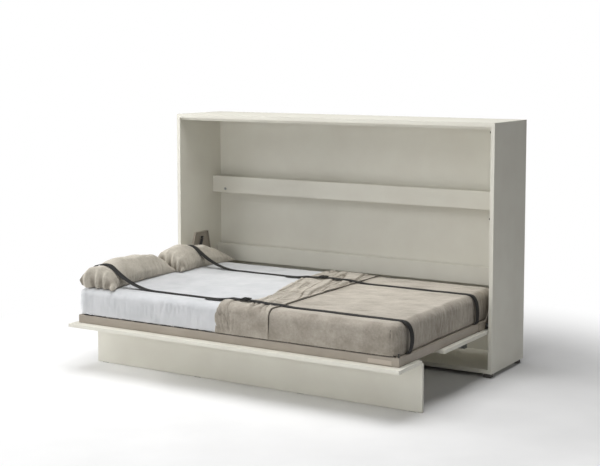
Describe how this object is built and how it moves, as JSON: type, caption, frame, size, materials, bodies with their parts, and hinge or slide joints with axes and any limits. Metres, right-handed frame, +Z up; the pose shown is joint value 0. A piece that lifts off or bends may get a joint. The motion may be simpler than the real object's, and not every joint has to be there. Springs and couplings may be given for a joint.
{
  "type": "horizontal wall bed",
  "caption": "Shallow board cabinet with a sideways fold-down steel bed frame, a door panel that hangs down as the leg, gas springs, mattress, pillows and blanket.",
  "frame": {"origin": "on the floor under the centre of the unfolded bed's whole outline", "axes": "+X along the cabinet to the foot end, +Y towards the wall, +Z up; the bed folds down towards -Y"},
  "size_m": [2.12, 1.505, 1.394],
  "materials": {
    "cabinet_board": "matt melamine-faced board",
    "door_board": "matt melamine-faced board",
    "back_board": "matt lacquered fibreboard",
    "frame_steel": "taupe powder coat",
    "mechanism_steel": "taupe powder coat",
    "bright_steel": "zinc-plated",
    "spring_body": "black gloss lacquer",
    "black_plastic": "moulded",
    "rubber_stop": "moulded",
    "slat_wood": "bare birch laminate",
    "mattress_cover": "white knitted cover",
    "velvet": "taupe velvet",
    "webbing": "black woven webbing",
    "blank_plate": "satin, no text"
  },
  "bodies": {
    "cabinet": {"side_panel_right": "cabinet_board", "side_panel_left": "cabinet_board", "top_panel": "cabinet_board", "bottom_panel": "cabinet_board", "back_panel": "back_board", "mid_rail": "cabinet_board", "lower_rail": "cabinet_board", "top_stop_rail": "cabinet_board", "cabinet_feet": "black_plastic", "rail_brackets": "bright_steel", "wall_brackets": "bright_steel", "door_bumpers": "rubber_stop", "rail_anchor_bolt": "bright_steel", "plate_screws": "bright_steel", "side_plate_right": "mechanism_steel", "side_plate_left": "mechanism_steel", "pivot_pin_right": "bright_steel", "pivot_pin_left": "bright_steel", "pivot_spacer_right": "black_plastic", "pivot_spacer_left": "black_plastic", "spring_stud_right": "bright_steel", "spring_stud_left": "bright_steel"},
    "bed": {"blanket": "velvet", "blanket_fold": "velvet", "door_lower_panel": "door_board", "door_outer_panel": "door_board", "door_screws": "bright_steel", "frame_back": "frame_steel", "frame_cross_left": "frame_steel", "frame_cross_right": "frame_steel", "frame_front": "frame_steel", "frame_side_left": "frame_steel", "frame_side_right": "frame_steel", "leg_hinge_fixed_leaves": "bright_steel", "leg_hinge_pins": "bright_steel", "lever_plate_left": "frame_steel", "lever_plate_right": "frame_steel", "mattress": "mattress_cover", "mattress_peg": "black_plastic", "name_plate": "blank_plate", "pillow_front": "velvet", "pillow_rear": "velvet", "pivot_bush_left": "black_plastic", "pivot_bush_right": "black_plastic", "slat_holders_front": "black_plastic", "slat_holders_rear": "black_plastic", "slats": "slat_wood", "strap_buckles": "black_plastic", "strap_front": "webbing", "strap_rear": "webbing", "strap_screws": "bright_steel"},
    "leg": {"leg_panel": "door_board", "leg_glides": "black_plastic", "leg_hinge_leg_leaves": "bright_steel"},
    "spring_cylinder_right": {"spring_cylinder_right": "spring_body"},
    "spring_cylinder_left": {"spring_cylinder_left": "spring_body"},
    "spring_rod_right": {"spring_rod_right": "bright_steel"},
    "spring_rod_left": {"spring_rod_left": "bright_steel"}
  },
  "joints": [
    {"name": "bed_tilt", "type": "hinge", "parent": "cabinet", "child": "bed", "pos_m": [0, 0.3335, 0.283], "axis": [-1, 0, 0], "range_deg": [0, 90]},
    {"name": "leg_fold", "type": "hinge", "parent": "bed", "child": "leg", "pos_m": [0, -0.5015, 0.25], "axis": [-1, 0, 0], "range_deg": [-90, 0]},
    {"name": "spring_swing_right", "type": "hinge", "parent": "cabinet", "child": "spring_cylinder_right", "pos_m": [1.021, 0.5025, 0.6], "axis": [-1, 0, 0], "range_deg": [-9.92, 0]},
    {"name": "spring_stroke_right", "type": "slide", "parent": "spring_cylinder_right", "child": "spring_rod_right", "axis": [0, -0.3994, -0.9168], "range_m": [0, 0.1301]},
    {"name": "spring_swing_left", "type": "hinge", "parent": "cabinet", "child": "spring_cylinder_left", "pos_m": [-1.021, 0.5025, 0.6], "axis": [-1, 0, 0], "range_deg": [-9.92, 0]},
    {"name": "spring_stroke_left", "type": "slide", "parent": "spring_cylinder_left", "child": "spring_rod_left", "axis": [0, -0.3994, -0.9168], "range_m": [0, 0.1301]}
  ],
  "couplings": [
    {"joint": "leg_fold", "follows": "bed_tilt", "ratio": -1},
    {"joint": "spring_swing_right", "follows": "bed_tilt", "ratio": -0.11019},
    {"joint": "spring_stroke_right", "follows": "bed_tilt", "m_per_rad": 0.082824},
    {"joint": "spring_swing_left", "follows": "bed_tilt", "ratio": -0.11019},
    {"joint": "spring_stroke_left", "follows": "bed_tilt", "m_per_rad": 0.082824}
  ]
}
